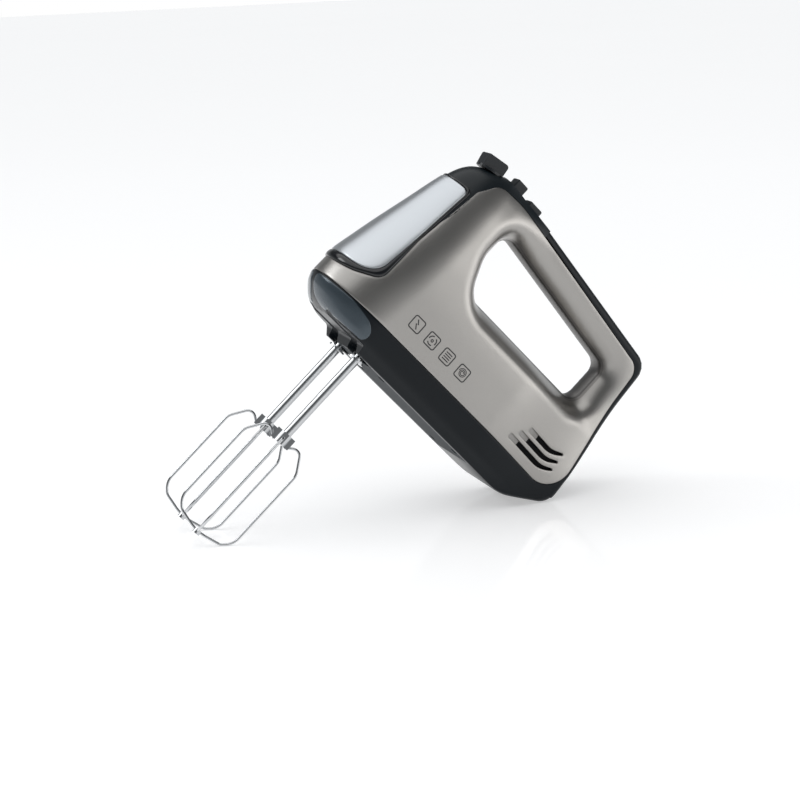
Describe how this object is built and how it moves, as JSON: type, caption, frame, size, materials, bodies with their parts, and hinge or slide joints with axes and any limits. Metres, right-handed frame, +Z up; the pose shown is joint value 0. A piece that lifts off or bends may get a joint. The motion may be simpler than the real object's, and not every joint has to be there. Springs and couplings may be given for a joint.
{
  "type": "hand mixer",
  "caption": "Electric hand mixer with a looped handle, wire whisks on spinning spindles, a worm-geared motor, speed knob, eject and turbo buttons; resting on its whisks and heel.",
  "frame": {"origin": "bottom centre of the bounding box in the resting pose", "axes": "+Z up; -X towards the nose and beaters, +X towards the heel; the mixer's left side faces -Y; the mixer leans 47.7 degrees back on its beaters and heel"},
  "size_m": [0.329, 0.0822, 0.2368],
  "materials": {
    "shell_metallic": "satin metallic paint",
    "dark_plastic": "semi-gloss",
    "panel_plastic": "semi-gloss",
    "seal_black": "glossy",
    "cover_silver": "satin",
    "chrome_wire": "polished",
    "steel": "machined",
    "copper": "lacquered",
    "frame_plastic": "moulded",
    "gear_plastic": "moulded",
    "button_plastic": "semi-gloss",
    "knob_plastic": "semi-gloss",
    "board_green": "laminate",
    "carbon": "sintered",
    "bronze": "sintered",
    "rubber_black": "matt"
  },
  "bodies": {
    "body": {"left_shell": "shell_metallic", "right_shell": "shell_metallic", "base_tub": "dark_plastic", "bottom_plate": "dark_plastic", "nose_panel": "panel_plastic", "handle_spine": "dark_plastic", "top_cap": "dark_plastic", "front_cover": "cover_silver", "front_cover_seal": "seal_black", "cord_inlet_bush": "rubber_black", "shell_screws": "steel", "gearbox_frame": "frame_plastic", "rear_motor_bracket": "frame_plastic", "motor_bearing_front": "bronze", "motor_bearing_middle": "bronze", "motor_bearing_rear": "bronze", "field_stack": "steel", "field_coil_upper": "copper", "field_coil_lower": "copper", "motor_bolts": "steel", "brush_holders": "bronze", "carbon_brush_left": "carbon", "carbon_brush_right": "carbon", "speed_switch": "frame_plastic", "turbo_switch": "frame_plastic", "eject_spring": "steel", "circuit_board": "board_green", "circuit_components": "frame_plastic"},
    "motor": {"motor_shaft": "steel", "armature_core": "steel", "armature_windings": "copper", "commutator": "copper", "worm": "steel", "cooling_fan": "frame_plastic"},
    "spindle_l": {"spindle_left": "steel", "worm_wheel_left": "gear_plastic"},
    "spindle_r": {"spindle_right": "steel", "worm_wheel_right": "gear_plastic"},
    "beater_l": {"beater_left_wires": "chrome_wire", "beater_left_hub": "chrome_wire", "beater_left_shaft": "chrome_wire"},
    "beater_r": {"beater_right_wires": "chrome_wire", "beater_right_hub": "chrome_wire", "beater_right_shaft": "chrome_wire"},
    "knob": {"speed_knob": "knob_plastic"},
    "eject": {"eject_button": "button_plastic", "eject_rod": "frame_plastic", "eject_bridge": "frame_plastic"},
    "turbo": {"turbo_button": "button_plastic"}
  },
  "joints": [
    {"name": "motor_spin", "type": "hinge", "parent": "body", "child": "motor", "pos_m": [-0.01306, 0, 0.13988], "axis": [-0.6728, 0, 0.7398], "continuous": true},
    {"name": "spindle_left_spin", "type": "hinge", "parent": "body", "child": "spindle_l", "pos_m": [-0.01306, -0.019, 0.13988], "axis": [0.7398, 0, 0.6728], "continuous": true},
    {"name": "spindle_right_spin", "type": "hinge", "parent": "body", "child": "spindle_r", "pos_m": [-0.01306, 0.019, 0.13988], "axis": [0.7398, 0, 0.6728], "continuous": true},
    {"name": "beater_left_pull", "type": "slide", "parent": "spindle_l", "child": "beater_l", "axis": [-0.7398, 0, -0.6728], "range_m": [0, 0.05]},
    {"name": "beater_right_pull", "type": "slide", "parent": "spindle_r", "child": "beater_r", "axis": [-0.7398, 0, -0.6728], "range_m": [0, 0.05]},
    {"name": "speed_knob_turn", "type": "hinge", "parent": "body", "child": "knob", "pos_m": [0.05861, 0, 0.22397], "axis": [0.5979, 0, 0.8016], "range_deg": [0, 150]},
    {"name": "eject_press", "type": "slide", "parent": "body", "child": "eject", "axis": [-0.7398, 0, -0.6728], "range_m": [0, 0.005], "stiffness_N_per_m": 900, "springref_m": -0.002},
    {"name": "turbo_press", "type": "slide", "parent": "body", "child": "turbo", "axis": [-0.7398, 0, -0.6728], "range_m": [0, 0.0025], "stiffness_N_per_m": 900, "springref_m": -0.0015}
  ],
  "couplings": [
    {"joint": "spindle_left_spin", "follows": "motor_spin", "ratio": -0.041667},
    {"joint": "spindle_right_spin", "follows": "motor_spin", "ratio": 0.041667}
  ]
}
